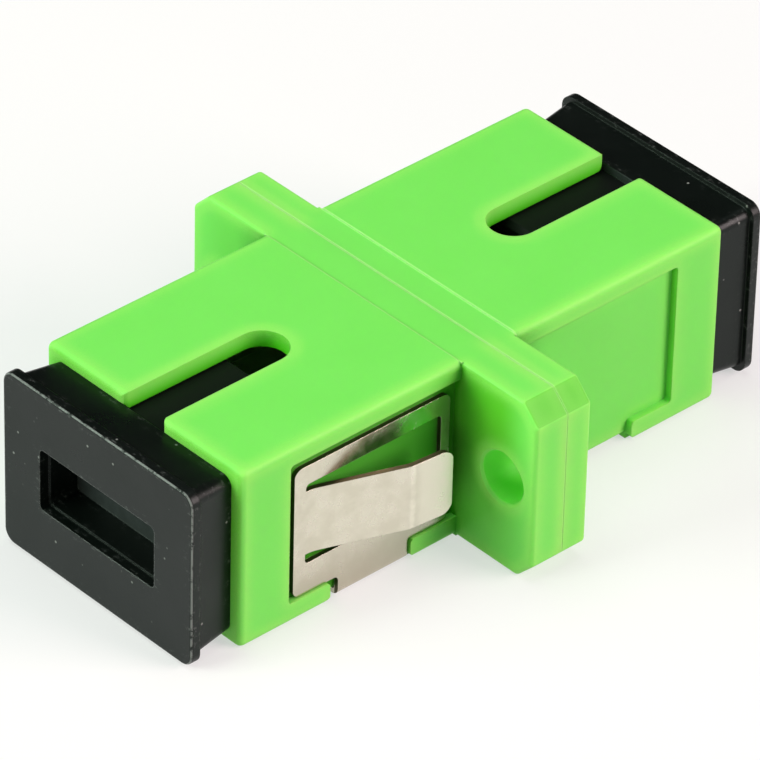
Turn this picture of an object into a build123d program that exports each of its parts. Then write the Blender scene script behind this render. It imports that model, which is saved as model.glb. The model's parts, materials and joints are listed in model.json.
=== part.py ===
from build123d import *
import os

# Flanged fibre adapter for one pair of push-pull connectors, with a sprung panel clip and two dust caps.
# Sizes are in millimetres. X runs across the flange, Y along the fibre from the near port to the far
# port, and Z up to the key slots. The origin is on the fibre axis, in the middle plane of the flange.

os.makedirs("parts", exist_ok=True)

# Housing, outside
BODY_WIDTH = 12.6
BODY_HEIGHT = 9.2
BODY_LENGTH = 27.9
BODY_EDGE_RADIUS = 0.35
BODY_END_RADIUS = 0.3
BODY_SIDE = BODY_WIDTH / 2
BODY_TOP = BODY_HEIGHT / 2
BODY_END = BODY_LENGTH / 2

# Flange and its two screw ears
SCREW_SPACING = 18.0
SCREW_HOLE_DIAMETER = 2.5
SCREW_HOLE_BREAK = 0.12     # chamfer round both ends of a screw hole
SCREW_TO_EAR_TIP = 2.0      # from the middle of a screw hole to the tip of its ear
FLANGE_THICKNESS = 3.2
FLANGE_STEP = 0.05          # how far the flange stays below the top of the body
EAR_CORNER_CHAMFER = 0.95
EAR_CORNER_RADIUS = 0.25    # where a chamfer meets the tip or the top of its ear
EAR_EDGE_RADIUS = 0.2
EAR_TIP = SCREW_SPACING / 2 + SCREW_TO_EAR_TIP
FLANGE_FACE = FLANGE_THICKNESS / 2
FLANGE_TOP = BODY_TOP - FLANGE_STEP
FLANGE_BOTTOM = -BODY_TOP

# Weld seam between the two halves of the housing
SEAM_OFFSET = 0.2           # from the middle plane of the flange towards the far port
SEAM_GROOVE = 0.02

# Connector ports
PORT_SIDE_WALL = 1.75
PORT_TOP_WALL = 0.85
PORT_CORNER_RADIUS = 0.3
PORT_LEAD_IN = 0.3
PORT_WIDTH = BODY_WIDTH - 2 * PORT_SIDE_WALL
PORT_HEIGHT = BODY_HEIGHT - 2 * PORT_TOP_WALL

# Key slots in the top wall
KEY_SLOT_WIDTH = 2.4
KEY_SLOT_TO_FLANGE = 4.47
KEY_SLOT_MOUTH_RADIUS = 0.3
KEY_SLOT_TIP = FLANGE_FACE + KEY_SLOT_TO_FLANGE

# Clip seat: a shallow recess on each side of both ports, open below where the clip's strap passes
RECESS_DEPTH = 0.38
RECESS_TOP_BORDER = 0.9
RECESS_LIP_HEIGHT = 1.05
RECESS_END_WALL = 2.72
RECESS_CORNER_RADIUS = 0.2
FLANGE_SIDE_LIP_LENGTH = 2.65
MOUTH_SIDE_LIP_LENGTH = 2.38
LIP_TOP_RADIUS = 0.2
LIP_FOOT_CHAMFER = 0.3
SEAT_SIDE = BODY_SIDE - RECESS_DEPTH
RECESS_TOP = BODY_TOP - RECESS_TOP_BORDER
RECESS_BOTTOM = RECESS_LIP_HEIGHT - BODY_TOP
RECESS_END = BODY_END - RECESS_END_WALL
STRAP_GAP_START = FLANGE_FACE + FLANGE_SIDE_LIP_LENGTH
STRAP_GAP_END = RECESS_END - MOUTH_SIDE_LIP_LENGTH

# Panel clip, folded from one sheet, and the gaps that it leaves in its seat
CLIP_SHEET = 0.25
CLIP_BEND_RADIUS = 0.12     # inside the bend
CLIP_FLANGE_GAP = 0.46
CLIP_MOUTH_GAP = 0.35
CLIP_LIP_GAP = 0.04
CLIP_TOP_GAP = 0.53
CLIP_CORNER_RADIUS = 0.4
SEAT_CORNER_RADIUS = CLIP_BEND_RADIUS + 0.15
SEAT_BOTTOM = BODY_TOP - CLIP_SHEET
CLIP_RIGHT = -FLANGE_FACE - CLIP_FLANGE_GAP
CLIP_LEFT = CLIP_MOUTH_GAP - RECESS_END
CLIP_BOTTOM = RECESS_BOTTOM + CLIP_LIP_GAP
CLIP_TOP = RECESS_TOP - CLIP_TOP_GAP

# Strap of the clip, in the gap between the two lips
STRAP_FLANGE_SIDE_GAP = 0.07
STRAP_MOUTH_SIDE_GAP = 0.54
STRAP_ROOT_RADIUS = 0.25

# Window in each side of the clip, and the tongue that springs out of it
WINDOW_TOP_STRIP = 0.97
WINDOW_BOTTOM_STRIP = 1.57
WINDOW_FLANGE_STRIP = 0.5
WINDOW_ROOT_STRIP = 0.65
WINDOW_CORNER_RADIUS = 0.2
TONGUE_TOP_SLIT = 0.35
TONGUE_BOTTOM_SLIT = 0.5
TONGUE_END_GAP = 0.88       # from the tip of the tongue to the end of its window
TONGUE_TIP_LENGTH = 2.15
TONGUE_TIP_RISE = 0.2
TONGUE_REACH = 1.57         # how far the bend of the tongue stands out from the plate
TONGUE_ROOT_FLAT = 0.4      # from its window to the middle of its first bend
TONGUE_ROOT_BEND = 2.2
TONGUE_TIP_BEND = 0.8
TONGUE_CORNER_RADIUS = 0.6

# Split alignment sleeve
FERRULE_BORE = 2.5
SLEEVE_WALL = 0.35
SLEEVE_LENGTH = 11.4
SLEEVE_SLIT = 0.4
SLEEVE_BREAK = 0.12
SLEEVE_RADIUS = FERRULE_BORE / 2 + SLEEVE_WALL

# Latch holders, one for each port, back to back inside the flange
HOLDER_SIDE_SEAT = 0.35     # how far a plate reaches past the side of the port
HOLDER_TOP_SEAT = 0.25      # how far a plate reaches past the top of the port
HOLDER_COVER = 0.28         # from a plate to the face of the flange
HOLDER_PLATE_CHAMFER = 0.5
HOLDER_CLEARANCE = 0.05     # round the plates in their pocket
HOLDER_PLATE_WIDTH = PORT_WIDTH + 2 * HOLDER_SIDE_SEAT
HOLDER_PLATE_HEIGHT = PORT_HEIGHT + 2 * HOLDER_TOP_SEAT
HOLDER_PLATE_THICKNESS = FLANGE_FACE - HOLDER_COVER

# Barrel of a holder, round half of the sleeve
BARREL_WALL = 0.55
BARREL_CLEARANCE = 0.05     # round the sleeve
BARREL_END_FLOAT = 0.1      # beyond each end of the sleeve
BARREL_LIP = 0.7
BARREL_LIP_OVERLAP = 0.15   # how far the lip reaches in over the end of the sleeve
BARREL_LEAD_IN = 0.35
BARREL_BORE_RADIUS = SLEEVE_RADIUS + BARREL_CLEARANCE
BARREL_RADIUS = BARREL_BORE_RADIUS + BARREL_WALL
BARREL_SEAT = SLEEVE_LENGTH / 2 + BARREL_END_FLOAT
BARREL_TIP = BARREL_SEAT + BARREL_LIP

# Latch arms, in the space between the barrel and the side of the port
LATCH_GAP_SHARE = 0.425     # share of that space between the barrel and an arm
LATCH_ARM_SHARE = 0.3       # share of that space that an arm takes up
LATCH_HOOK_SHARE = 0.6      # share of the gap that a hook reaches across
LATCH_ARM_WIDTH = 3.0
LATCH_ARM_OVERHANG = 1.05   # how far an arm reaches past the barrel
LATCH_HOOK_FACE = 0.35
LATCH_HOOK_UNDERCUT = 0.15
LATCH_TIP_BREAK = 0.25
LATCH_ROOT_RADIUS = 0.4
LATCH_SPACE = PORT_WIDTH / 2 - BARREL_RADIUS
LATCH_ARM_GAP = LATCH_GAP_SHARE * LATCH_SPACE
LATCH_ARM_THICKNESS = LATCH_ARM_SHARE * LATCH_SPACE
LATCH_HOOK_REACH = LATCH_HOOK_SHARE * LATCH_ARM_GAP
LATCH_ARM_TIP = BARREL_TIP + LATCH_ARM_OVERHANG

# Dust caps: plate and neck outside the body
CAP_PLATE_SIDE_MARGIN = 0.2  # how far the plate stays inside the sides of the body
CAP_PLATE_TOP_MARGIN = 0.12  # how far it stays below the top of the body
CAP_PLATE_THICKNESS = 0.5
CAP_PLATE_CORNER_RADIUS = 0.65
CAP_PLATE_EDGE_RADIUS = 0.12
CAP_NECK_LENGTH = 2.05
CAP_NECK_SIDE_STEP = 0.65   # from the side of the body to the neck
CAP_NECK_TOP_STEP = 0.55    # from the top of the body to the neck
CAP_NECK_FLARE = 0.2        # on each side, from the body to the plate
CAP_NECK_CORNER_RADIUS = 0.5
CAP_PLATE_WIDTH = BODY_WIDTH - 2 * CAP_PLATE_SIDE_MARGIN
CAP_PLATE_HEIGHT = BODY_HEIGHT - 2 * CAP_PLATE_TOP_MARGIN
CAP_NECK_WIDTH = BODY_WIDTH - 2 * CAP_NECK_SIDE_STEP
CAP_NECK_HEIGHT = BODY_HEIGHT - 2 * CAP_NECK_TOP_STEP

# Dust caps: hollow plug inside the port
CAP_PLUG_CLEARANCE = 0.1    # on each side of the plug
CAP_PLUG_LATCH_GAP = 0.4    # from the tips of the latch arms to the plug
CAP_PLUG_WALL = 0.6
CAP_PLUG_BREAK = 0.25
CAP_WEB = 0.6               # between the grip pocket and the hollow of the plug
CAP_PLUG_TIP = LATCH_ARM_TIP + CAP_PLUG_LATCH_GAP

# Dust caps: grip pocket
GRIP_SIDE_BORDER = 2.4
GRIP_TOP_BORDER = 2.9
GRIP_DEPTH = 2.0
GRIP_LEDGE = 0.1            # the pocket narrows by this on each side behind the plate
GRIP_CORNER_RADIUS = 0.25
GRIP_WIDTH = CAP_PLATE_WIDTH - 2 * GRIP_SIDE_BORDER
GRIP_HEIGHT = CAP_PLATE_HEIGHT - 2 * GRIP_TOP_BORDER

CUT_MARGIN = 1.0            # how far a cutting solid runs past what it cuts
SAME_PLACE = 0.001          # two points closer than this are one corner


def span_y(profile, low, high):
    """Extrudes a profile drawn in X and Z from one place on Y to another."""
    return extrude(Plane.XZ.offset(-high) * profile, amount=high - low)


def block(low_x, high_x, low_y, high_y, low_z, high_z):
    """A plain block between two corners."""
    size = (high_x - low_x, high_y - low_y, high_z - low_z)
    centre = ((low_x + high_x) / 2, (low_y + high_y) / 2, (low_z + high_z) / 2)
    return Pos(*centre) * Box(*size)


def rect(low_u, high_u, low_v, high_v):
    """A rectangle between two corners of a sketch."""
    return Pos((low_u + high_u) / 2, (low_v + high_v) / 2) * Rectangle(high_u - low_u, high_v - low_v)


def corners_at(sketch, places):
    """The corners of a sketch that lie at the given places."""
    return [v for v in sketch.vertices()
            if any(abs(v.X - u) < SAME_PLACE and abs(v.Y - w) < SAME_PLACE for u, w in places)]


def body_tube():
    """Far tube of the body with its port, from the far face of the flange to the port's mouth."""
    tube = span_y(RectangleRounded(BODY_WIDTH, BODY_HEIGHT, BODY_EDGE_RADIUS), FLANGE_FACE, BODY_END)
    mouth = tube.faces().sort_by(Axis.Y)[-1]
    tube = fillet(mouth.edges(), BODY_END_RADIUS)
    port = span_y(RectangleRounded(PORT_WIDTH, PORT_HEIGHT, PORT_CORNER_RADIUS), 0, BODY_END)
    tube = tube - port
    mouth = tube.faces().sort_by(Axis.Y)[-1]
    return chamfer(mouth.inner_wires()[0].edges(), PORT_LEAD_IN)


def key_slot():
    """Solid that cuts the far key slot through the top wall, with its rounded end and flared mouth."""
    half = KEY_SLOT_WIDTH / 2
    plan = rect(-half, half, KEY_SLOT_TIP + half, BODY_END + CUT_MARGIN)
    plan = plan + rect(-PORT_WIDTH / 2, PORT_WIDTH / 2, BODY_END, BODY_END + CUT_MARGIN)
    plan = fillet(corners_at(plan, [(-half, BODY_END), (half, BODY_END)]), KEY_SLOT_MOUTH_RADIUS)
    plan = plan + Pos(0, KEY_SLOT_TIP + half) * Circle(half)
    return extrude(Plane.XY * plan, amount=BODY_TOP + CUT_MARGIN)


def side_recess():
    """Solid that cuts the right-hand recess of the far tube, with the gap in its lip."""
    outline = rect(FLANGE_FACE, RECESS_END, RECESS_BOTTOM, RECESS_TOP)
    end_corners = [(RECESS_END, RECESS_BOTTOM), (RECESS_END, RECESS_TOP)]
    outline = fillet(corners_at(outline, end_corners), RECESS_CORNER_RADIUS)
    foot = LIP_FOOT_CHAMFER - BODY_TOP
    below = -BODY_TOP - CUT_MARGIN
    flare = LIP_FOOT_CHAMFER + CUT_MARGIN
    gap = make_face(Polyline(
        (STRAP_GAP_START, RECESS_BOTTOM), (STRAP_GAP_START, foot), (STRAP_GAP_START - flare, below),
        (STRAP_GAP_END + flare, below), (STRAP_GAP_END, foot), (STRAP_GAP_END, RECESS_BOTTOM), close=True))
    outline = outline + gap
    lip_tops = [(STRAP_GAP_START, RECESS_BOTTOM), (STRAP_GAP_END, RECESS_BOTTOM)]
    outline = fillet(corners_at(outline, lip_tops), LIP_TOP_RADIUS)
    return extrude(Plane.YZ.offset(SEAT_SIDE) * outline, amount=RECESS_DEPTH + CUT_MARGIN)


def strap_channel():
    """Solid that cuts the channel for the clip's strap across the bottom of the far tube."""
    wide = BODY_SIDE + CUT_MARGIN
    around = rect(-wide, wide, -BODY_TOP - CUT_MARGIN, RECESS_BOTTOM)
    core = RectangleRounded(2 * SEAT_SIDE, 2 * SEAT_BOTTOM, SEAT_CORNER_RADIUS)
    return span_y(around - core, STRAP_GAP_START, STRAP_GAP_END)


def screw_ear():
    """Right-hand half of the flange, with its corner chamfers and its screw hole."""
    outline = rect(0, EAR_TIP, FLANGE_BOTTOM, FLANGE_TOP)
    tip_corners = [(EAR_TIP, FLANGE_BOTTOM), (EAR_TIP, FLANGE_TOP)]
    outline = chamfer(corners_at(outline, tip_corners), EAR_CORNER_CHAMFER)
    outline = fillet([v for v in outline.vertices() if v.X > BODY_SIDE], EAR_CORNER_RADIUS)
    ear = span_y(outline, -FLANGE_FACE, FLANGE_FACE)
    faces = ear.faces().filter_by(Axis.Y)
    rims = [e for f in faces for e in f.edges() if e.center().X > BODY_SIDE / 2]
    ear = fillet(rims, EAR_EDGE_RADIUS)
    hole = span_y(Pos(SCREW_SPACING / 2, 0) * Circle(SCREW_HOLE_DIAMETER / 2), -FLANGE_FACE, FLANGE_FACE)
    ear = ear - hole
    return chamfer(ear.edges().filter_by(GeomType.CIRCLE).group_by(SortBy.RADIUS)[-1], SCREW_HOLE_BREAK)


def housing():
    """Both halves of the housing in one piece, before it is parted at the seam."""
    tube = body_tube() - key_slot() - side_recess() - mirror(side_recess(), Plane.YZ) - strap_channel()
    ear = screw_ear()
    core = block(-BODY_SIDE, BODY_SIDE, -FLANGE_FACE, FLANGE_FACE, FLANGE_BOTTOM, FLANGE_TOP)
    whole = core + ear + mirror(ear, Plane.YZ) + tube + mirror(tube, Plane.XZ)
    port = span_y(RectangleRounded(PORT_WIDTH, PORT_HEIGHT, PORT_CORNER_RADIUS), -FLANGE_FACE, FLANGE_FACE)
    pocket_half_width = HOLDER_PLATE_WIDTH / 2 + HOLDER_CLEARANCE
    pocket_half_height = HOLDER_PLATE_HEIGHT / 2 + HOLDER_CLEARANCE
    pocket = block(-pocket_half_width, pocket_half_width, -HOLDER_PLATE_THICKNESS, HOLDER_PLATE_THICKNESS,
                   -pocket_half_height, pocket_half_height)
    return whole - port - pocket


def housing_half(whole, low_y, high_y):
    """One half of the housing, with a fine groove round its edge at the seam."""
    tip = EAR_TIP + CUT_MARGIN
    top = BODY_TOP + CUT_MARGIN
    half = whole & block(-tip, tip, low_y, high_y, -top, top)
    seam = [f for f in half.faces().filter_by(Axis.Y) if abs(f.center().Y - SEAM_OFFSET) < SEAM_GROOVE]
    outline = max(seam, key=lambda f: f.area).outer_wire()
    return chamfer(outline.edges(), SEAM_GROOVE)


def latch_arm():
    """Right-hand latch arm of the far holder, with its hook turned in to the barrel."""
    inner = BARREL_RADIUS + LATCH_ARM_GAP
    outer = inner + LATCH_ARM_THICKNESS
    nose = inner - LATCH_HOOK_REACH
    ramp = LATCH_ARM_TIP - LATCH_HOOK_REACH - LATCH_TIP_BREAK
    catch = ramp - LATCH_HOOK_FACE
    root = HOLDER_PLATE_THICKNESS
    outline = make_face(Polyline(
        (inner, root), (inner, catch - LATCH_HOOK_UNDERCUT), (nose, catch), (nose, ramp),
        (inner, LATCH_ARM_TIP), (outer - LATCH_TIP_BREAK, LATCH_ARM_TIP),
        (outer, LATCH_ARM_TIP - LATCH_TIP_BREAK), (outer, root), close=True))
    foot = rect(inner - 2 * LATCH_ROOT_RADIUS, outer + 2 * LATCH_ROOT_RADIUS, root / 2, root)
    outline = fillet(corners_at(outline + foot, [(inner, root), (outer, root)]), LATCH_ROOT_RADIUS)
    return extrude(Plane.XY * outline, amount=LATCH_ARM_WIDTH / 2, both=True)


def latch_holder():
    """Holder of the far port: plate, barrel for half of the sleeve, and two sprung latch arms."""
    outline = Rectangle(HOLDER_PLATE_WIDTH, HOLDER_PLATE_HEIGHT)
    plate = span_y(chamfer(outline.vertices(), HOLDER_PLATE_CHAMFER), 0, HOLDER_PLATE_THICKNESS)
    barrel = span_y(Circle(BARREL_RADIUS), 0, BARREL_TIP)
    barrel = chamfer(barrel.faces().sort_by(Axis.Y)[-1].edges(), BARREL_LEAD_IN)
    bore = span_y(Circle(BARREL_BORE_RADIUS), 0, BARREL_SEAT)
    throat_radius = SLEEVE_RADIUS - BARREL_LIP_OVERLAP
    throat = span_y(Circle(throat_radius), BARREL_SEAT, BARREL_TIP)
    arm = latch_arm()
    solid = plate + barrel + arm + mirror(arm, Plane.YZ) - bore - throat
    tip = solid.faces().filter_by(GeomType.PLANE).filter_by(Axis.Y)
    rim = [f for f in tip if abs(f.center().Y - BARREL_TIP) < BARREL_LEAD_IN and f.inner_wires()]
    return chamfer(rim[0].inner_wires()[0].edges(), BARREL_LEAD_IN / 2)


def split_sleeve():
    """Thin tube that lines up the two ferrules, slit along its whole length."""
    outer = SLEEVE_RADIUS
    half = SLEEVE_LENGTH / 2
    tube = span_y(Circle(outer) - Circle(FERRULE_BORE / 2), -half, half)
    inner_rims = tube.edges().filter_by(GeomType.CIRCLE).group_by(SortBy.RADIUS)[0]
    tube = chamfer(inner_rims, SLEEVE_BREAK)
    return tube - block(-SLEEVE_SLIT / 2, SLEEVE_SLIT / 2, -half, half, 0, outer + CUT_MARGIN)


def tongue(window_left, window_right, low, high):
    """Right-hand sprung tongue: a strip that ramps outwards from its root and turns back at its tip."""
    tip = window_right - TONGUE_END_GAP
    bend = (SEAT_SIDE + TONGUE_REACH, tip - TONGUE_TIP_LENGTH)
    end = (bend[0] + TONGUE_TIP_RISE, tip)
    root = window_left - WINDOW_ROOT_STRIP
    path = FilletPolyline((SEAT_SIDE, root), (SEAT_SIDE, window_left + TONGUE_ROOT_FLAT), bend, end,
                          radius=[TONGUE_ROOT_BEND, TONGUE_TIP_BEND])
    strip = make_face(offset(path, CLIP_SHEET, side=Side.RIGHT))
    solid = extrude(Plane.XY.offset(low) * strip, amount=high - low)
    side_view = rect(root, tip, low, high)
    side_view = fillet(corners_at(side_view, [(tip, low), (tip, high)]), TONGUE_CORNER_RADIUS)
    return solid & extrude(Plane.YZ * side_view, amount=EAR_TIP)


def panel_clip():
    """Clip folded from one sheet: a strap under the body and a framed tongue on each side."""
    outer_side = SEAT_SIDE + CLIP_SHEET
    outer_bottom = SEAT_BOTTOM + CLIP_SHEET
    outside = RectangleRounded(2 * outer_side, 2 * outer_bottom, CLIP_BEND_RADIUS + CLIP_SHEET)
    inside = RectangleRounded(2 * SEAT_SIDE, 2 * SEAT_BOTTOM, CLIP_BEND_RADIUS)
    folded = span_y(outside - inside, CLIP_LEFT, CLIP_RIGHT)
    flat = fillet(rect(CLIP_LEFT, CLIP_RIGHT, CLIP_BOTTOM, CLIP_TOP).vertices(), CLIP_CORNER_RADIUS)
    strap_right = -STRAP_GAP_START - STRAP_FLANGE_SIDE_GAP
    strap_left = -STRAP_GAP_END + STRAP_MOUTH_SIDE_GAP
    flat = flat + rect(strap_left, strap_right, -outer_bottom - CUT_MARGIN, CLIP_BOTTOM)
    roots = [(strap_left, CLIP_BOTTOM), (strap_right, CLIP_BOTTOM)]
    flat = fillet(corners_at(flat, roots), STRAP_ROOT_RADIUS)
    window_left = CLIP_LEFT + WINDOW_ROOT_STRIP
    window_right = CLIP_RIGHT - WINDOW_FLANGE_STRIP
    window_bottom = CLIP_BOTTOM + WINDOW_BOTTOM_STRIP
    window_top = CLIP_TOP - WINDOW_TOP_STRIP
    window = rect(window_left, window_right, window_bottom, window_top)
    window = fillet(window.vertices(), WINDOW_CORNER_RADIUS)
    folded = folded & extrude(Plane.YZ * (flat - window), amount=EAR_TIP, both=True)
    tongue_bottom = window_bottom + TONGUE_BOTTOM_SLIT
    tongue_top = window_top - TONGUE_TOP_SLIT
    spring = tongue(window_left, window_right, tongue_bottom, tongue_top)
    return folded + spring + mirror(spring, Plane.YZ)


def dust_cap():
    """Cap of the far port: plate, flared neck, hollow plug and the pocket that it is gripped by."""
    plate_back = BODY_END + CAP_NECK_LENGTH
    plate_front = plate_back + CAP_PLATE_THICKNESS
    plate = RectangleRounded(CAP_PLATE_WIDTH, CAP_PLATE_HEIGHT, CAP_PLATE_CORNER_RADIUS)
    plate = span_y(plate, plate_back, plate_front)
    plate = fillet(plate.faces().sort_by(Axis.Y)[-1].edges(), CAP_PLATE_EDGE_RADIUS)
    narrow = RectangleRounded(CAP_NECK_WIDTH, CAP_NECK_HEIGHT, CAP_NECK_CORNER_RADIUS)
    flare = 2 * CAP_NECK_FLARE
    wide = RectangleRounded(CAP_NECK_WIDTH + flare, CAP_NECK_HEIGHT + flare, CAP_NECK_CORNER_RADIUS)
    neck = loft([Plane.XZ.offset(-BODY_END) * narrow, Plane.XZ.offset(-plate_back) * wide])
    plug_width = PORT_WIDTH - 2 * CAP_PLUG_CLEARANCE
    plug_height = PORT_HEIGHT - 2 * CAP_PLUG_CLEARANCE
    plug = span_y(RectangleRounded(plug_width, plug_height, PORT_CORNER_RADIUS), CAP_PLUG_TIP, BODY_END)
    plug = chamfer(plug.faces().sort_by(Axis.Y)[0].edges(), CAP_PLUG_BREAK)
    grip_floor = plate_front - GRIP_DEPTH
    walls = 2 * CAP_PLUG_WALL
    hollow = span_y(Rectangle(plug_width - walls, plug_height - walls), CAP_PLUG_TIP, grip_floor - CAP_WEB)
    mouth = span_y(RectangleRounded(GRIP_WIDTH, GRIP_HEIGHT, GRIP_CORNER_RADIUS), plate_back, plate_front)
    ledges = 2 * GRIP_LEDGE
    pocket = RectangleRounded(GRIP_WIDTH - ledges, GRIP_HEIGHT - ledges, GRIP_CORNER_RADIUS)
    pocket = span_y(pocket, grip_floor, plate_back)
    return plate + neck + plug - hollow - mouth - pocket


whole_housing = housing()
far_holder = latch_holder()
far_cap = dust_cap()

nodes = {
    "housing_near": housing_half(whole_housing, -BODY_LENGTH, SEAM_OFFSET),
    "housing_far": housing_half(whole_housing, SEAM_OFFSET, BODY_LENGTH),
    "latch_holder_near": mirror(far_holder, Plane.XZ),
    "latch_holder_far": far_holder,
    "split_sleeve": split_sleeve(),
    "panel_clip": panel_clip(),
    "dust_cap_near": mirror(far_cap, Plane.XZ),
    "dust_cap_far": far_cap,
}

for name, solid in nodes.items():
    export_step(solid, os.path.join("parts", name + ".step"))
    box = solid.bounding_box()
    print(f"{name}: {box.size.X:.2f} x {box.size.Y:.2f} x {box.size.Z:.2f} mm, {len(solid.solids())} solid")
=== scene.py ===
# %% [markdown]
# # Dressing a fibre adapter for the studio
#
# The adapter is a green plastic sleeve for two fibre plugs, with a steel clip round one half and a
# black dust cap in each port. Its solids are already exact, so this lesson is about everything that
# a solid model lacks: the light, the camera and the way that each surface takes that light.
#
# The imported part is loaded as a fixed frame. Nothing in it is moved or reshaped, so every finish sits
# where the real one does, and the caps still pull out of their ports.

import json
import math

import bpy
from mathutils import Matrix, Vector


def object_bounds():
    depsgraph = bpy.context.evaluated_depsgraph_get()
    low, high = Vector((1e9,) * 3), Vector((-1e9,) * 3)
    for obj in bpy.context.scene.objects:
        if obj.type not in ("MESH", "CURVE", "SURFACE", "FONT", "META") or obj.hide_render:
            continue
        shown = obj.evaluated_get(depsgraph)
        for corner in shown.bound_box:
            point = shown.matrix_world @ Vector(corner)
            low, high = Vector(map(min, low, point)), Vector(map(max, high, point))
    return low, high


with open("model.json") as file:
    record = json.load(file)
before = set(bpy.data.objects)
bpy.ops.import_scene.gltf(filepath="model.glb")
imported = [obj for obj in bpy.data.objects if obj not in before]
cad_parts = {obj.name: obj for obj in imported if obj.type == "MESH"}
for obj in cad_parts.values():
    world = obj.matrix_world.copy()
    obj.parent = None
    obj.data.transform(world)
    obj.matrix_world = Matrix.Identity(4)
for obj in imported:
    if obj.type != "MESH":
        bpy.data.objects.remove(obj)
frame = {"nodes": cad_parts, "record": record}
solid_box = [list(corner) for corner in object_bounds()]
MM = 1000.0     # millimetres in a metre


def in_millimetres(box):
    """The corners of a box, rounded for reading."""
    return [[round(place * MM, 2) for place in corner] for corner in box]


parts = frame["nodes"]
print("parts:", ", ".join(sorted(parts)))
print("box in millimetres:", in_millimetres(solid_box))

# %% [markdown]
# ## Camera
#
# The object is only 33 mm long, and its parallel edges stay almost parallel in the picture. That
# needs a long lens a good way off. The camera stands to the right of the near port, looks down by
# about 36 degrees, and is rolled by a degree and a half, as a camera held in the hand often is.

# %% Place the camera
CAMERA_PLACE = Vector((0.18268, -0.17115, 0.17980))
CAMERA_AIM = Vector((0.00006, -0.00046, -0.00030))
CAMERA_ROLL = math.radians(1.474)
LENS_MM = 337.21
SENSOR_MM = 36
NEAREST_SEEN = 0.01

camera_data = bpy.data.cameras.new("studio_camera")
camera_data.lens = LENS_MM
camera_data.sensor_width = SENSOR_MM
camera_data.clip_start = NEAREST_SEEN
camera = bpy.data.objects.new("studio_camera", camera_data)
level = (CAMERA_AIM - CAMERA_PLACE).to_track_quat("-Z", "Y").to_matrix()
rolled = level @ Matrix.Rotation(CAMERA_ROLL, 3, "Z")
camera.matrix_world = Matrix.Translation(CAMERA_PLACE) @ rolled.to_4x4()
bpy.context.scene.collection.objects.link(camera)
bpy.context.scene.camera = camera
print("camera is", round((CAMERA_AIM - CAMERA_PLACE).length * MM), "mm away")

# %% [markdown]
# ## Light
#
# Small shiny things are lit with large soft lamps, because a plastic edge or a steel sheet shows the
# shape of whatever lights it. One soft lamp hangs overhead. A second stands at the front left, so the
# body shades the corner between its side and the screw ear, and a weak one low on the right opens that
# shade a little. A warm lamp at the back right lights the long side. The surroundings stay dim, so the
# black caps keep their depth on top and only mirror the pale table from the side.

# %% Hang the lamps
LAMPS = [
    # name, place in metres, width in metres, watts, tint
    ("overhead_lamp", (-0.03, -0.02, 0.36), 0.24, 0.46, (0.94, 1.0, 0.96)),
    ("front_lamp", (-0.17, -0.36, 0.20), 0.26, 1.65, (0.86, 1.0, 0.86)),
    ("low_front_lamp", (0.22, -0.40, 0.09), 0.20, 0.38, (0.95, 1.0, 0.80)),
    ("back_right_lamp", (0.34, 0.20, 0.20), 0.26, 1.9, (1.0, 0.77, 0.80)),
]

for name, place, width, watts, tint in LAMPS:
    lamp_data = bpy.data.lights.new(name, "AREA")
    lamp_data.size = width
    lamp_data.energy = watts
    lamp_data.color = tint
    lamp = bpy.data.objects.new(name, lamp_data)
    lamp.location = place
    lamp.rotation_euler = (-Vector(place)).to_track_quat("-Z", "Y").to_euler()
    bpy.context.scene.collection.objects.link(lamp)
    print("lamp", name, "at", round(Vector(place).length * MM), "mm,", watts, "W")

# %% Dim surroundings
WHITE = (1.0, 1.0, 1.0)
ROOM_STRENGTH = 0.035

world = bpy.data.worlds.new("studio_room")
world.use_nodes = True
room = world.node_tree.nodes["Background"]
room.inputs["Color"].default_value = (*WHITE, 1.0)
room.inputs["Strength"].default_value = ROOM_STRENGTH
bpy.context.scene.world = world
bpy.context.scene.view_settings.view_transform = "Standard"
print("room light has strength", ROOM_STRENGTH)

# %% [markdown]
# ## Small tools for building finishes
#
# A finish is a chain of nodes. It could be laid by hand in the shader editor, but written out it can be
# read, repeated and changed. Most links of the chain are the same few steps, such as a sum or a mix of
# two colours, and each step gets a helper. It takes plain values or the outputs of other nodes, and
# gives the output of its own node, so a finish reads like a formula.

# %% Helpers for values and colours
def feed(tree, socket, value):
    """Sets an input to a plain value, or links it to the output of another node."""
    if isinstance(value, bpy.types.NodeSocket):
        tree.links.new(value, socket)
    elif socket.type == "RGBA":
        socket.default_value = (*value, 1.0)
    else:
        socket.default_value = value


def calculate(tree, operation, *values):
    """A maths node."""
    node = tree.nodes.new("ShaderNodeMath")
    node.operation = operation
    for socket, value in zip(node.inputs, values):
        feed(tree, socket, value)
    return node.outputs[0]


def blend_colours(tree, factor, first, second):
    """A mix of two colours."""
    node = tree.nodes.new("ShaderNodeMix")
    node.data_type = "RGBA"
    for name, value in (("Factor", factor), ("A", first), ("B", second)):
        feed(tree, node.inputs[name], value)
    return node.outputs["Result"]


print("helpers for values and colours are ready")

# %% [markdown]
# ## Table
#
# A plain pale table catches the shadow and is what the steel mirrors. To the eye of the camera, and
# in mirrors, it is plain white. The light that it throws back on the object is that of a grey card, so
# the corners of the housing stay deep. Like a studio's light table it has a glow of its own. For the
# camera and in mirrors the glow is half of it, which keeps the shadow light, and a weaker share lights
# the sides of the object from below.

# %% A pale finish for the table
GREY_CARD = (0.36, 0.36, 0.35)
GLOW_SHARE = 0.18
SEEN_GLOW_SHARE = 0.54

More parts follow.
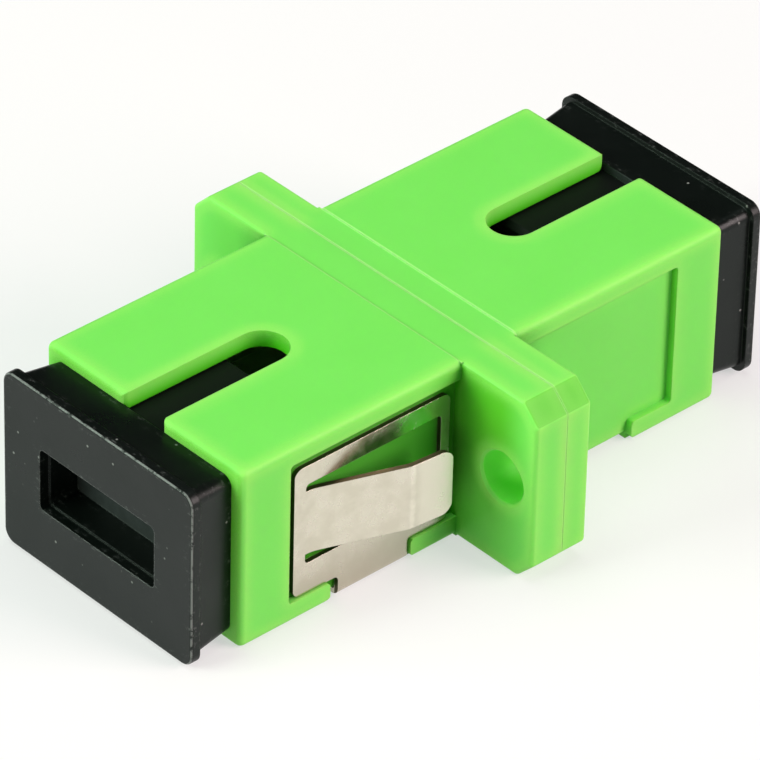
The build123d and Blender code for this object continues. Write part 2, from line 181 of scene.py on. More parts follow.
pale_table = bpy.data.materials.new("pale_table")
pale_table.use_nodes = True
tree = pale_table.node_tree
tree.nodes.clear()
ray = tree.nodes.new("ShaderNodeLightPath").outputs
seen = calculate(tree, "MAXIMUM", ray["Is Camera Ray"], ray["Is Glossy Ray"])
seen = calculate(tree, "MAXIMUM", seen, ray["Is Transmission Ray"])
matt = tree.nodes.new("ShaderNodeBsdfDiffuse")
feed(tree, matt.inputs["Color"], blend_colours(tree, seen, GREY_CARD, WHITE))
glow = tree.nodes.new("ShaderNodeEmission")
feed(tree, glow.inputs["Color"], WHITE)
glow_share = calculate(tree, "MULTIPLY_ADD", seen, SEEN_GLOW_SHARE - GLOW_SHARE, GLOW_SHARE)
matt_and_glow = tree.nodes.new("ShaderNodeMixShader")
for socket, value in zip(matt_and_glow.inputs, (glow_share, matt.outputs[0], glow.outputs[0])):
    feed(tree, socket, value)
surface = tree.nodes.new("ShaderNodeOutputMaterial").inputs["Surface"]
feed(tree, surface, matt_and_glow.outputs[0])
print("finish", pale_table.name)

# %% Lay the table
TABLE_HALF = 1.2
TABLE_GAP = 0.00001     # so that the table and the underside never share a plane

table_z = solid_box[0][2] - TABLE_GAP
corners = [(x * TABLE_HALF, y * TABLE_HALF, table_z) for x, y in ((-1, -1), (1, -1), (1, 1), (-1, 1))]
table_mesh = bpy.data.meshes.new("table")
table_mesh.from_pydata(corners, [], [(0, 1, 2, 3)])
table_mesh.materials.append(pale_table)
table = bpy.data.objects.new("table", table_mesh)
bpy.context.scene.collection.objects.link(table)
print("table top at z =", round(table_z * MM, 2), "mm")

# %% [markdown]
# ## Effects that several finishes share
#
# Moulded plastic and stamped steel have some things in common: no edge is perfectly sharp, corners are
# rubbed, and hollows lie in shade, which the green finish paints into its colour as painted shade. Each
# of these is a node group, built once, with its own named inputs, so that every finish can use it with
# its own values.

# %% A helper that starts a group
def start_group(name, inputs, outputs):
    """A new shader node group, with what comes in and what goes out as named sockets."""
    group = bpy.data.node_groups.new(name, "ShaderNodeTree")
    for socket, value in inputs.items():
        entry = group.interface.new_socket(name=socket, in_out="INPUT", socket_type="NodeSocketFloat")
        entry.default_value = value
    for socket, kind in outputs.items():
        group.interface.new_socket(name=socket, in_out="OUTPUT", socket_type=kind)
    return group, group.nodes.new("NodeGroupInput").outputs, group.nodes.new("NodeGroupOutput").inputs


print("groups can start")

# %% [markdown]
# ### Masks
#
# A mask says how much of an effect a point gets, from 0 for none to 1 for all of it. A smooth fade
# turns a measured value into one, and masks that have to hold together are multiplied. A colour ramp
# could make the fade too, but the map range node says in plain numbers where it starts and ends.

# %% Helpers for masks
def multiply(tree, *factors):
    """The product of two or more values."""
    product = factors[0]
    for factor in factors[1:]:
        product = calculate(tree, "MULTIPLY", product, factor)
    return product


def rescale(tree, value, old, new=(0.0, 1.0)):
    """Maps a value smoothly from one range to another, and holds it at both ends."""
    node = tree.nodes.new("ShaderNodeMapRange")
    node.interpolation_type = "SMOOTHSTEP"
    feed(tree, node.inputs["Value"], value)
    for name, limit in zip(("From Min", "From Max", "To Min", "To Max"), (*old, *new)):
        feed(tree, node.inputs[name], limit)
    return node.outputs["Result"]


print("helpers for masks are ready")

# %% [markdown]
# ### Finding edges and hollows
#
# The bevel node bends the surface's normal near an edge. Where it differs from the flat normal there is
# an edge. Ambient occlusion tells how open the surface is, and so where the hollows are. It only looks
# at the piece itself, since the table and the other pieces cast their own shadows.

# %% Helpers for edges and hollows
BEVEL_SAMPLES = 4


def bend_at_edges(tree, radius_mm):
    """The normal as a rounded edge of this radius would bend it, and how far it is bent."""
    bevel = tree.nodes.new("ShaderNodeBevel")
    bevel.samples = BEVEL_SAMPLES
    feed(tree, bevel.inputs["Radius"], multiply(tree, radius_mm, 1 / MM))
    flat = tree.nodes.new("ShaderNodeNewGeometry")
    same = tree.nodes.new("ShaderNodeVectorMath")
    same.operation = "DOT_PRODUCT"
    feed(tree, same.inputs[0], bevel.outputs["Normal"])
    feed(tree, same.inputs[1], flat.outputs["Normal"])
    return bevel.outputs["Normal"], calculate(tree, "SUBTRACT", 1.0, same.outputs["Value"])


def openness(tree, reach, samples):
    """How open the surface is: 1 in the open, and less near another wall of the same piece."""
    node = tree.nodes.new("ShaderNodeAmbientOcclusion")
    node.samples = samples
    node.only_local = True
    feed(tree, node.inputs["Distance"], reach)
    return node.outputs["AO"]


print("edges are found with", BEVEL_SAMPLES, "samples")

# %% [markdown]
# ### Soft edges
#
# A mould is cut with a tool that has a small radius of its own, so even the edges that the drawing
# leaves sharp catch a thin line of light. The group gives the bent normal, a mask of the outer edges for
# wear and for a painted highlight, and a mask of the hollows for painted shade. The reach says how far
# from a wall a corner still counts as a hollow.

# %% Soft edges
soft_edges, ins, outs = start_group(
    "soft_edges", {"Radius mm": 0.06, "Reach mm": 0.6},
    {"Normal": "NodeSocketVector", "Edge": "NodeSocketFloat", "Hollow": "NodeSocketFloat"})
normal, bent = bend_at_edges(soft_edges, ins["Radius mm"])
air = openness(soft_edges, multiply(soft_edges, ins["Reach mm"], 1 / MM), samples=4)
any_edge = rescale(soft_edges, bent, (0.02, 0.22))
outer = rescale(soft_edges, air, (0.75, 0.98))
feed(soft_edges, outs["Normal"], normal)
feed(soft_edges, outs["Edge"], multiply(soft_edges, any_edge, outer))
feed(soft_edges, outs["Hollow"], rescale(soft_edges, air, (0.48, 1.0), (1.0, 0.0)))
print("group", soft_edges.name, "with", len(soft_edges.nodes), "nodes")

# %% [markdown]
# ### Glowing rims
#
# In milky plastic, light that enters one face near an edge leaves through the other, so a broad pale
# band runs along every edge. The green finish paints this band into its colour as a painted glow. A
# second bevel node, with a radius of about a millimetre, finds it. A band also gathers rubs and scuffs,
# so the black caps use the same group.

# %% Glowing rims
RIM_REACH = 0.0004

glowing_rims, ins, outs = start_group("glowing_rims", {"Width mm": 0.7}, {"Band": "NodeSocketFloat"})
bent = bend_at_edges(glowing_rims, ins["Width mm"])[1]
bent = calculate(glowing_rims, "SQRT", calculate(glowing_rims, "MAXIMUM", bent, 0.0))
air = openness(glowing_rims, RIM_REACH, samples=3)
any_band = rescale(glowing_rims, bent, (0.08, 0.48))
outer = rescale(glowing_rims, air, (0.6, 0.95))
feed(glowing_rims, outs["Band"], multiply(glowing_rims, any_band, outer))
print("group", glowing_rims.name, "with", len(glowing_rims.nodes), "nodes")

# %% [markdown]
# ### Textures by the millimetre
#
# A flat picture laid over a piece would have seams at its edges. The textures here fill the space round
# the piece instead, and its surface cuts through them as a saw cuts through the grain of wood. They are
# counted in millimetres, and they move with the piece.

# %% Helpers for textures
def texture_place(tree, stretch=(1.0, 1.0, 1.0)):
    """The place on the piece, counted in millimetres, so that a texture's scale is per millimetre."""
    source = tree.nodes.new("ShaderNodeTexCoord")
    scale = tree.nodes.new("ShaderNodeMapping")
    feed(tree, scale.inputs["Scale"], [MM * share for share in stretch])
    feed(tree, scale.inputs["Vector"], source.outputs["Object"])
    return scale.outputs["Vector"]


def noise(tree, scale, detail=2.0, roughness=0.5, stretch=(1.0, 1.0, 1.0)):
    """A noise texture with so many features to the millimetre."""
    node = tree.nodes.new("ShaderNodeTexNoise")
    feed(tree, node.inputs["Scale"], scale)
    feed(tree, node.inputs["Detail"], detail)
    feed(tree, node.inputs["Roughness"], roughness)
    feed(tree, node.inputs["Vector"], texture_place(tree, stretch))
    return node.outputs["Fac"]


print("textures are counted in millimetres")

# %% [markdown]
# ### Moulded skin
#
# A moulded face is never optically flat. It has a very fine spark-eroded grain, and a long lazy wave
# where the plastic shrank. The grain makes highlights soft, and the wave makes them wander. The tone
# is a slow drift for colours.

# %% Moulded skin
WAVES_PER_MM = 0.22
TONES_PER_MM = 0.35
GRAIN_HEIGHT = 0.05

moulded_skin, ins, outs = start_group(
    "moulded_skin", {"Grain per mm": 9.0, "Wave": 0.5},
    {"Height": "NodeSocketFloat", "Tone": "NodeSocketFloat"})
grain = noise(moulded_skin, ins["Grain per mm"], detail=3.0, roughness=0.6)
wave = noise(moulded_skin, WAVES_PER_MM, detail=1.0)
tone = noise(moulded_skin, TONES_PER_MM, detail=4.0, roughness=0.6)
waved = multiply(moulded_skin, wave, ins["Wave"])
feed(moulded_skin, outs["Height"], calculate(moulded_skin, "MULTIPLY_ADD", grain, GRAIN_HEIGHT, waved))
feed(moulded_skin, outs["Tone"], tone)
print("group", moulded_skin.name, "with", len(moulded_skin.nodes), "nodes")

# %% [markdown]
# ### Specks
#
# Black plastic shows every speck of dust. A Voronoi texture gives round cells, and only the cells
# whose middle is very near the surface show as a dot, so the dots have many sizes. A slow noise
# gathers them in patches.

# %% Specks
PATCHES_PER_MM = 0.4
DOT_BORDER = 0.05

specks, ins, outs = start_group(
    "specks", {"Cells per mm": 1.6, "Size": 0.12}, {"Mask": "NodeSocketFloat"})
cells = specks.nodes.new("ShaderNodeTexVoronoi")
feed(specks, cells.inputs["Vector"], texture_place(specks))
feed(specks, cells.inputs["Scale"], ins["Cells per mm"])
inside = calculate(specks, "SUBTRACT", ins["Size"], cells.outputs["Distance"])
dots = rescale(specks, inside, (0.0, DOT_BORDER))
patches = rescale(specks, noise(specks, PATCHES_PER_MM, detail=1.0), (0.45, 0.6))
feed(specks, outs["Mask"], multiply(specks, dots, patches))
print("group", specks.name, "with", len(specks.nodes), "nodes")

# %% [markdown]
# ## Where a point lies
#
# Some finishes change from place to place. A point's place is read along the three axes of its piece,
# in millimetres, and so is the direction that its face looks in. Both move with the piece, so a cap
# keeps its marks when it is pulled out.

# %% Helpers for places and directions
def along_axis(tree, output, axis):
    """One part of a place or of a normal, in the piece's own axes."""
    source = tree.nodes.new("ShaderNodeTexCoord")
    parted = tree.nodes.new("ShaderNodeSeparateXYZ")
    feed(tree, parted.inputs["Vector"], source.outputs[output])
    return parted.outputs[axis]


def place_mm(tree, axis):
    """The place along an axis, in millimetres."""
    return multiply(tree, along_axis(tree, "Object", axis), MM)


def facing(tree, axis):
    """How squarely a face looks along an axis: 1 is fully, and -1 is fully the other way."""
    return along_axis(tree, "Normal", axis)


def unsigned(tree, value):
    """A value without its sign, so that mirrored places look alike."""
    return calculate(tree, "ABSOLUTE", value)


print("places are read in millimetres")

# %% [markdown]
# ## Starting a finish
#
# One shader of Blender covers plastic, steel and ceramic alike, so every finish starts with it. The
# shared groups are placed beside it, each with this finish's own values.

# %% Helpers that start a finish
def start_finish(name):
    """A new material, its node tree and its main shader."""
    finish = bpy.data.materials.new(name)
    finish.use_nodes = True
    return finish, finish.node_tree, finish.node_tree.nodes["Principled BSDF"]


def use_group(tree, group, **values):
    """Places a node group in a finish, with this finish's own values. Gives its outputs."""
    node = tree.nodes.new("ShaderNodeGroup")
    node.node_tree = group
    for socket, value in values.items():
        node.inputs[socket.replace("_", " ")].default_value = value
    return node.outputs


print("finishes can start")

# %% [markdown]
# ## Green housing
#
# The housing is a bright, slightly milky plastic. Light goes in a little way and comes out again, so
# thin edges glow and shadows stay green instead of grey. Subsurface scattering does part of that, with a
# radius well under a millimetre, and the rest is painted light and painted shade in the colour, set out
# below. Under that, the colour is plain, with only a faint drift over the part. The masks that follow
# need to know where a point is on the housing, so its place is read first.

# %% Green plastic, its skin and its places
GREEN = (0.198, 0.825, 0.118)
PALER_GREEN = (0.218, 0.87, 0.134)

green_plastic, tree, shader = start_finish("green_plastic")
edges = use_group(tree, soft_edges, Radius_mm=0.07, Reach_mm=2.3)
rims = use_group(tree, glowing_rims, Width_mm=1.4)
skin = use_group(tree, moulded_skin, Grain_per_mm=10.0, Wave=0.5)
body_colour = blend_colours(tree, skin["Tone"], GREEN, PALER_GREEN)
across = place_mm(tree, "X")
along = place_mm(tree, "Y")
height = place_mm(tree, "Z")
far_out = unsigned(tree, across)
looks_up = facing(tree, "Z")
looks_sideways = unsigned(tree, facing(tree, "X"))
print("finish", green_plastic.name)

# %% [markdown]
# ### Painted shade on faces that look along the part
#
# Faces that look along the part get a painted shade: their colour is painted a deeper green, which
# stands in for the shade that falls on them, most of all where the body shades the ears. Towards the
# tips and the bottom edge of the ears, light comes in from the side as well, and the painted shade fades
# out. The left ear has the front lamp before it, and stays paler. The cut corners of the ears get some
# of the painted shade too.

# %% Painted shade, a deeper green
ENDWAYS_SHADE_GREEN = (0.117, 0.60, 0.028)
EAR_MM = 8.0                    # the cut corners are further out than this
CUT_CORNER_SHADE = 0.75
TIP_FADE_MM = (8.6, 10.7)
FOOT_FADE_MM = (-4.6, 2.4)
LEFT_EAR_FADE_MM = (-6.5, -5.5)

endways = multiply(
    tree, rescale(tree, unsigned(tree, facing(tree, "Y")), (0.6, 0.95)),
    rescale(tree, far_out, TIP_FADE_MM, (1.0, 0.1)),
    rescale(tree, height, FOOT_FADE_MM, (0.25, 1.0)),
    rescale(tree, across, LEFT_EAR_FADE_MM, (0.35, 1.0)))
slanted = rescale(tree, multiply(tree, looks_sideways, looks_up), (0.36, 0.46))
cut_corner = multiply(tree, slanted, calculate(tree, "GREATER_THAN", far_out, EAR_MM))
deeper = calculate(tree, "MAXIMUM", endways, multiply(tree, cut_corner, CUT_CORNER_SHADE))
# Painted shade: faces that look along the part, and the cut corners, turn a deeper green.
body_colour = blend_colours(tree, deeper, body_colour, ENDWAYS_SHADE_GREEN)
print("ears are cut off at an angle beyond", EAR_MM, "mm")

# %% [markdown]
# ### Painted glow and highlights on the rims
#
# Every outer edge gets the broad glow, painted into the colour as a painted glow. There is little of it
# on the cut corners, and none on the flange where it crosses the body, because the small steps there are
# no real edges. A narrow line along the very edge is paler still, as a painted highlight. The rims of
# the screw holes get less of it.

# %% Painted glow and highlights on the rims
RIM_GLOW_GREEN = (0.36, 0.94, 0.165)
EDGE_HIGHLIGHT_GREEN = (0.45, 0.97, 0.28)
FLANGE_HALF_MM = 1.6
BODY_SIDE_FADE_MM = (5.0, 6.4)
SCREW_HOLE_MM = 9.0             # from the middle of the part
HOLE_RADIUS_MM = 1.25

bridge = multiply(
    tree, rescale(tree, unsigned(tree, along), (FLANGE_HALF_MM, FLANGE_HALF_MM + 0.6), (1.0, 0.0)),
    rescale(tree, far_out, BODY_SIDE_FADE_MM, (1.0, 0.0)))
no_glow = calculate(tree, "MAXIMUM", bridge, multiply(tree, cut_corner, 0.7))
glow = multiply(tree, rims["Band"], calculate(tree, "SUBTRACT", 1.0, no_glow))
# Painted glow: a broad pale band along the outer edges.
body_colour = blend_colours(tree, glow, body_colour, RIM_GLOW_GREEN)
from_hole = calculate(tree, "SUBTRACT", far_out, SCREW_HOLE_MM)
hole_distance = calculate(tree, "SQRT", calculate(
    tree, "MULTIPLY_ADD", from_hole, from_hole, multiply(tree, height, height)))
off_hole = rescale(tree, hole_distance, (HOLE_RADIUS_MM + 0.1, HOLE_RADIUS_MM + 0.35), (0.05, 0.3))
# Painted highlight: a paler line along the very edge.
body_colour = blend_colours(tree, multiply(tree, edges["Edge"], off_hole), body_colour, EDGE_HIGHLIGHT_GREEN)
print("screw holes are", SCREW_HOLE_MM, "mm from the middle")

# %% [markdown]
# ### Painted shade in the corners
#
# Deep corners are painted a darker and purer green, as painted shade, because the light there has
# bounced from green to green. The screw holes are left out of that, and their insides are painted a
# bright green as painted light, since light comes through their thin walls and makes them shine. The far
# half faces the warm lamp, and its painted shade is lighter. The top has no deep corners, only the small
# steps beside the flange, so it is left out too.

# %% Painted shade in the corners, and painted light in the screw holes
CORNER_SHADE_GREEN = (0.022, 0.275, 0.002)
HOLE_LIGHT_GREEN = (0.26, 1.0, 0.13)
FAR_HALF_FADE_MM = (0.2, 9.0)
SQUARELY = (0.8, 0.95)          # how far a face looks along an axis that it is square to

shade = multiply(
    tree, edges["Hollow"],
    rescale(tree, hole_distance, (HOLE_RADIUS_MM, HOLE_RADIUS_MM + 0.85)),
    rescale(tree, along, FAR_HALF_FADE_MM, (1.0, 0.15)),
    rescale(tree, looks_up, SQUARELY, (1.0, 0.0)))
# Painted shade: corners turn a darker green by how closed in they are.
body_colour = blend_colours(tree, shade, body_colour, CORNER_SHADE_GREEN)
in_hole = rescale(tree, hole_distance, (HOLE_RADIUS_MM - 0.01, HOLE_RADIUS_MM + 0.05), (1.0, 0.0))
# Painted light: the inside of each screw hole is painted a bright green.
body_colour = blend_colours(tree, in_hole, body_colour, HOLE_LIGHT_GREEN)
print("screw holes shine within", HOLE_RADIUS_MM, "mm")

# %% [markdown]
# ### Painted shade behind the clip, and in the key slots
#
# The wall behind the clip gets little light, least of all low down, so it is painted a dark green as
# painted shade. It could have a material of its own, but its distance from the middle of the part picks
# it out too, and the housing stays one finish. The thin walls of the key slots are painted a darker,
# purer green downwards, as painted shade, from the lit top to the dark port.

# %% A helper for thin strips
def near_value(tree, value, middle, full, none):
    """A mask that is 1 within one distance of a middle value and 0 beyond another."""
    away = unsigned(tree, calculate(tree, "SUBTRACT", value, middle))
    return rescale(tree, away, (full, none), (1.0, 0.0))


print("strips can be picked out")

# %% Painted shade on the clip wall and the slot walls
CLIP_WALL_SHADE_GREEN = (0.04, 0.30, 0.008)
SLOT_SHADE_GREEN = (0.075, 0.68, 0.008)
RECESS_WALL_MM = 5.92
WINDOW_FADE_MM = (-1.9, 0.0)
SLOT_HALF_MM = 1.3
SLOT_WALL_MM = (3.75, 4.5)

behind_clip = multiply(
    tree, near_value(tree, far_out, RECESS_WALL_MM, 0.03, 0.06),
    rescale(tree, looks_sideways, SQUARELY),
    calculate(tree, "LESS_THAN", along, 0.0),
    rescale(tree, height, WINDOW_FADE_MM, (0.97, 0.78)))
# Painted shade: the wall behind the clip is painted a dark green, darkest low down.
body_colour = blend_colours(tree, behind_clip, body_colour, CLIP_WALL_SHADE_GREEN)
in_slot = multiply(
    tree, calculate(tree, "LESS_THAN", far_out, SLOT_HALF_MM),
    rescale(tree, looks_up, (0.3, 0.6), (1.0, 0.0)),
    calculate(tree, "GREATER_THAN", height, SLOT_WALL_MM[0] - 0.05),
    rescale(tree, height, SLOT_WALL_MM, (0.95, 0.2)))
# Painted shade: the slot walls turn a darker green downwards.
body_colour = blend_colours(tree, in_slot, body_colour, SLOT_SHADE_GREEN)
print("recess wall is", RECESS_WALL_MM, "mm from the middle")

# %% [markdown]
# ### Painted highlight on the weld line
#
# The two halves are welded together, and the flange stands a hair below the body. Both leave a fine
# line, which catches the light on top and hardly shows on the sides, and that is painted in as a pale
# painted highlight.

# %% Painted highlight on the weld line and the steps
LINE_HIGHLIGHT_GREEN = (0.46, 1.0, 0.30)
WELD_MM = 0.2
STEP_FADE_MM = (4.45, 4.5)      # the steps beside the flange are pale only at the top of the body

weld = multiply(tree, near_value(tree, along, WELD_MM, 0.04, 0.09),
                rescale(tree, looks_up, SQUARELY, (0.3, 0.85)))
far_step = near_value(tree, along, FLANGE_HALF_MM, 0.04, 0.09)
near_step = multiply(tree, near_value(tree, along, -FLANGE_HALF_MM, 0.03, 0.08), 0.55)
step = multiply(tree, calculate(tree, "MAXIMUM", far_step, near_step),
                rescale(tree, height, STEP_FADE_MM, (0.0, 0.75)))
lines = calculate(tree, "MAXIMUM", weld, step)
# Painted highlight: a pale line along the weld and the steps, strongest on top.
body_colour = blend_colours(tree, lines, body_colour, LINE_HIGHLIGHT_GREEN)
print("weld is", WELD_MM, "mm off the middle")

# %% [markdown]
# ### Gloss and grain of the green plastic
#
# The skin is satin, so lamps show in it as broad soft patches, and the gloss drifts a little with the
# tone. Grain and wave are a bump of two hundredths of a millimetre on top of the softened normal. Real
# grooves that small would need millions of faces and would change the solid. A low specular level keeps
# the green full.

# %% Helpers for gloss and grain
TONE_SPAN = (0.3, 0.7)      # nearly all of a noise lies in this span


def raise_surface(tree, height, normal, depth_mm):
    """The normal of a bump of this depth, on top of the softened normal."""
    bump = tree.nodes.new("ShaderNodeBump")
    feed(tree, bump.inputs["Strength"], 1.0)
    feed(tree, bump.inputs["Distance"], depth_mm / MM)
    feed(tree, bump.inputs["Height"], height)
    feed(tree, bump.inputs["Normal"], normal)
    return bump.outputs["Normal"]


def set_shader(tree, shader, values):
    """Feeds the named inputs of a finish's main shader."""
    for name, value in values.items():
        feed(tree, shader.inputs[name], value)


print("helpers for gloss and grain are ready")

# %% Green plastic, its shader
set_shader(tree, shader, {
    "Base Color": body_colour,
    "Roughness": rescale(tree, skin["Tone"], TONE_SPAN, (0.36, 0.44)),
    "Normal": raise_surface(tree, skin["Height"], edges["Normal"], depth_mm=0.02),
    "Specular IOR Level": 0.15,
    "Subsurface Weight": 0.3,
    "Subsurface Radius": (0.5, 1.0, 0.25),
    "Subsurface Scale": 0.0005,
})
print("green plastic has", len(tree.nodes), "nodes")

# %% [markdown]
# ## Black dust caps
#
# The caps are a cheap soft plastic that is handled a lot. Their faces are a satin charcoal.

# %% Black plastic, its skin and its places
BLACK = (0.0022, 0.0038, 0.0030)
PALER_BLACK = (0.0042, 0.0062, 0.0052)

black_plastic, tree, shader = start_finish("black_plastic")
edges = use_group(tree, soft_edges, Radius_mm=0.08)
rims = use_group(tree, glowing_rims, Width_mm=0.9)
skin = use_group(tree, moulded_skin, Grain_per_mm=7.0, Wave=1.0)
dots = use_group(tree, specks, Cells_per_mm=1.3, Size=0.10)
cap_colour = blend_colours(tree, skin["Tone"], BLACK, PALER_BLACK)
lean = unsigned(tree, facing(tree, "Y"))
from_middle = unsigned(tree, place_mm(tree, "Y"))
print("finish", black_plastic.name)

# %% [markdown]
# ### Wear and dust
#
# The front rim of the plate is rounded in the solid itself, so a bevel node doesn't find it. Its normal
# leans half forwards there, and that picks it out for a broken pale line of wear. Scuffs gather in a
# band beside it, and a few specks of dust sit on the faces.

# %% Wear and dust
WORN_GREY = (0.20, 0.215, 0.21)
DUST_GREY = (0.22, 0.23, 0.22)
PLATE_FRONT_FADE_MM = (16.1, 16.25)
RUBS_PER_MM = 3.0
SCUFFS_PER_MM = 4.0

rim = multiply(tree, rescale(tree, lean, (0.25, 0.5)), rescale(tree, lean, (0.85, 0.97), (1.0, 0.0)))
worn = multiply(tree, calculate(tree, "MAXIMUM", rim, edges["Edge"]),
                rescale(tree, from_middle, PLATE_FRONT_FADE_MM))
rubs = noise(tree, RUBS_PER_MM, detail=5.0, roughness=0.7)
worn = multiply(tree, worn, rescale(tree, rubs, (0.34, 0.50)))
scuffs = noise(tree, SCUFFS_PER_MM, detail=6.0, roughness=0.75, stretch=(0.6, 1.0, 1.0))
scuffed = multiply(tree, rims["Band"], rescale(tree, scuffs, (0.54, 0.68)), 0.7)
cap_colour = blend_colours(tree, calculate(tree, "MAXIMUM", worn, scuffed), cap_colour, WORN_GREY)
cap_colour = blend_colours(tree, dots["Mask"], cap_colour, DUST_GREY)
print("wear starts", PLATE_FRONT_FADE_MM[0], "mm from the middle")

# %% [markdown]
# ### Plug and grip pocket, with painted shade and painted light
#
# The plug that fills the port is dull and free of wear and dust, and it is painted a deeper black than
# the plate, as painted shade for the inside of the port. The floor of the grip pocket is painted a paler
# bluish grey, as painted light in the pocket. It lies between the port's end and the plate.

# %% Plug with painted shade, and grip pocket with painted light
PLUG_SHADE_BLACK = (0.0004, 0.0005, 0.0005)
POCKET_LIGHT_GREY = (0.034, 0.041, 0.041)
PORT_END_MM = 13.93
POCKET_FLOOR_BEFORE_MM = 15.5
POCKET_HALF_MM = 4.2

outside_port = calculate(tree, "GREATER_THAN", from_middle, PORT_END_MM)
# Painted shade: the plug inside the port is painted a deeper black than the plate.
cap_colour = blend_colours(tree, outside_port, PLUG_SHADE_BLACK, cap_colour)
pocket_floor = multiply(
    tree, outside_port,
    calculate(tree, "LESS_THAN", from_middle, POCKET_FLOOR_BEFORE_MM),
    calculate(tree, "LESS_THAN", unsigned(tree, place_mm(tree, "X")), POCKET_HALF_MM),
    rescale(tree, lean, (0.9, 0.98)))
pocket_light = multiply(tree, pocket_floor, rescale(tree, rubs, TONE_SPAN, (0.7, 1.0)))
# Painted light: the floor of the grip pocket is painted a paler bluish grey.
cap_colour = blend_colours(tree, pocket_light, cap_colour, POCKET_LIGHT_GREY)
print("ports end", PORT_END_MM, "mm from the middle")

# %% [markdown]
# ### Gloss of the black plastic
#
# The plate is satin too, and a little smoother than the green. The plug is rougher, so what shows of it
# through the key slots stays dark under the lamps.

# %% Black plastic, its shader
PLUG_ROUGHNESS = 0.62

satin = rescale(tree, skin["Tone"], TONE_SPAN, (0.27, 0.38))
smoother = multiply(tree, calculate(tree, "SUBTRACT", PLUG_ROUGHNESS, satin), outside_port)
set_shader(tree, shader, {
    "Base Color": cap_colour,
    "Roughness": calculate(tree, "SUBTRACT", PLUG_ROUGHNESS, smoother),
    "Normal": raise_surface(tree, skin["Height"], edges["Normal"], depth_mm=0.03),
    "Specular IOR Level": 0.26,
    "Specular Tint": (0.88, 1.0, 0.95),
})
print("black plastic has", len(tree.nodes), "nodes")

# %% [markdown]
# ## Steel clip
#
# The clip is stamped from thin spring steel. Its faces are rolled bright, so they mirror the table,
# the ear beside them and the tongue itself, with a very fine grain along the strip.

# %% Bright steel
STEEL = (0.64, 0.595, 0.49)
PALER_STEEL = (0.71, 0.665, 0.56)
CLOUDS_PER_MM = 0.9
STREAKS_PER_MM = 6.0
CLOUD_SPAN = (0.35, 0.65)

clip_steel, tree, shader = start_finish("clip_steel")
edges = use_group(tree, soft_edges, Radius_mm=0.03)
streaks = noise(tree, STREAKS_PER_MM, detail=4.0, roughness=0.65, stretch=(1.0, 0.12, 1.0))
clouds = noise(tree, CLOUDS_PER_MM, detail=4.0, roughness=0.6)
steel_colour = blend_colours(tree, rescale(tree, clouds, CLOUD_SPAN), STEEL, PALER_STEEL)
far_out = unsigned(tree, place_mm(tree, "X"))
along = place_mm(tree, "Y")
print("finish", clip_steel.name)

# %% [markdown]
# ### Painted highlights on the crease and tip, and a painted reflection on the foot
#
# The press leaves a crease where each tongue turns back near its tip. It is painted paler as a painted
# highlight, and the tip past it faces the lamps and is painted paler too, as painted light. Low down the
# sheet mirrors the shaded foot of the housing, and is painted darker, as a painted reflection.

# %% Painted highlights on the crease and tip, painted reflection on the foot
CREASE_HIGHLIGHT_STEEL = (0.84, 0.79, 0.68)
FOOT_REFLECTION_STEEL = (0.48, 0.44, 0.34)
CREASE_MM = -5.55
TONGUE_MM = 7.2                 # only the end of a tongue reaches further out
LOW_SHEET_FADE_MM = (-4.0, -1.5)

tongue_end = calculate(tree, "GREATER_THAN", far_out, TONGUE_MM)
crease = multiply(tree, near_value(tree, along, CREASE_MM, 0.03, 0.22), tongue_end,
                  rescale(tree, clouds, CLOUD_SPAN, (0.2, 0.8)))
tip = multiply(tree, rescale(tree, along, (CREASE_MM, CREASE_MM + 0.6)), tongue_end, 0.45)
# Painted highlight: a pale crease, and painted light on the tip.
steel_colour = blend_colours(tree, calculate(tree, "MAXIMUM", crease, tip), steel_colour, CREASE_HIGHLIGHT_STEEL)
foot = rescale(tree, place_mm(tree, "Z"), LOW_SHEET_FADE_MM, (0.7, 0.0))
# Painted reflection: the sheet is painted darker low down, where it mirrors the shaded foot.
steel_colour = blend_colours(tree, foot, steel_colour, FOOT_REFLECTION_STEEL)
print("crease is", -CREASE_MM, "mm from the middle")

# %% [markdown]
# ### Cut edges
#
# The punch leaves the cut edges of the sheet dull, and their dark colour is painted shade, standing in
# for the dark that they mirror. They are the faces that don't look sideways, out beyond the strap.

# %% Cut edges, and the shader
CUT_SHADE_STEEL = (0.10, 0.09, 0.05)
CUT_STARTS_MM = 5.95
CUT_ROUGHNESS = 0.25            # on top of that of the faces

cut = multiply(tree, calculate(tree, "LESS_THAN", unsigned(tree, facing(tree, "X")), 0.6),
               calculate(tree, "GREATER_THAN", far_out, CUT_STARTS_MM))
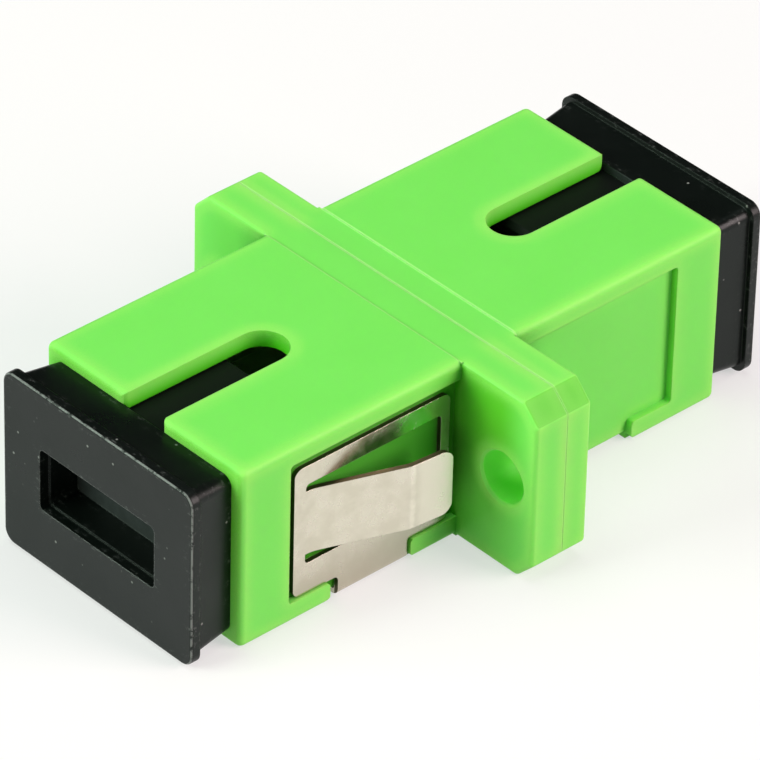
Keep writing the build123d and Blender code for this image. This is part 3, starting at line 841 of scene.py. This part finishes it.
# Painted shade: the cut edges are painted a dark brown.
steel_colour = blend_colours(tree, cut, steel_colour, CUT_SHADE_STEEL)
satin = rescale(tree, clouds, TONE_SPAN, (0.18, 0.30))
set_shader(tree, shader, {
    "Base Color": steel_colour,
    "Metallic": 1.0,
    "Roughness": calculate(tree, "MULTIPLY_ADD", cut, CUT_ROUGHNESS, satin),
    "Normal": raise_surface(tree, streaks, edges["Normal"], depth_mm=0.0012),
})
print("clip steel has", len(tree.nodes), "nodes")

# %% [markdown]
# ## Holders and sleeve
#
# They are deep inside the ports, and only show when a cap is out. The holders are an undyed moulded
# plastic. The sleeve is a white ceramic, ground and polished.

# %% Ivory plastic
IVORY = (0.74, 0.70, 0.58)
PALER_IVORY = (0.80, 0.77, 0.66)

holder_plastic, tree, shader = start_finish("holder_plastic")
edges = use_group(tree, soft_edges, Radius_mm=0.05)
skin = use_group(tree, moulded_skin, Grain_per_mm=12.0, Wave=0.4)
set_shader(tree, shader, {
    "Base Color": blend_colours(tree, skin["Tone"], IVORY, PALER_IVORY),
    "Roughness": rescale(tree, skin["Tone"], TONE_SPAN, (0.42, 0.52)),
    "Normal": raise_surface(tree, skin["Height"], edges["Normal"], depth_mm=0.02),
    "Subsurface Weight": 0.3,
    "Subsurface Radius": (1.0, 0.8, 0.5),
    "Subsurface Scale": 0.0005,
})
print("finish", holder_plastic.name)

# %% White ceramic
CERAMIC = (0.86, 0.85, 0.80)
PALER_CERAMIC = (0.90, 0.89, 0.86)
POLISH_PER_MM = 1.5

sleeve_ceramic, tree, shader = start_finish("sleeve_ceramic")
edges = use_group(tree, soft_edges, Radius_mm=0.03)
polish = noise(tree, POLISH_PER_MM)
set_shader(tree, shader, {
    "Base Color": blend_colours(tree, polish, CERAMIC, PALER_CERAMIC),
    "Roughness": rescale(tree, polish, TONE_SPAN, (0.12, 0.18)),
    "Normal": edges["Normal"],
})
print("finish", sleeve_ceramic.name)

# %% [markdown]
# ## Dressing the parts
#
# The record of the part names a material slot for each piece, and each slot has its finish here.

# %% Put the finishes on
finishes = {
    "green_plastic": green_plastic,
    "black_plastic": black_plastic,
    "clip_steel": clip_steel,
    "holder_plastic": holder_plastic,
    "sleeve_ceramic": sleeve_ceramic,
}
for subpart in frame["record"]["subparts"]:
    part = parts[subpart["node"]]
    for place in part.material_slots:
        place.material = finishes[subpart["material_slot"]]
    print(part.name, "has", len(part.data.polygons), "faces in", subpart["material_slot"])
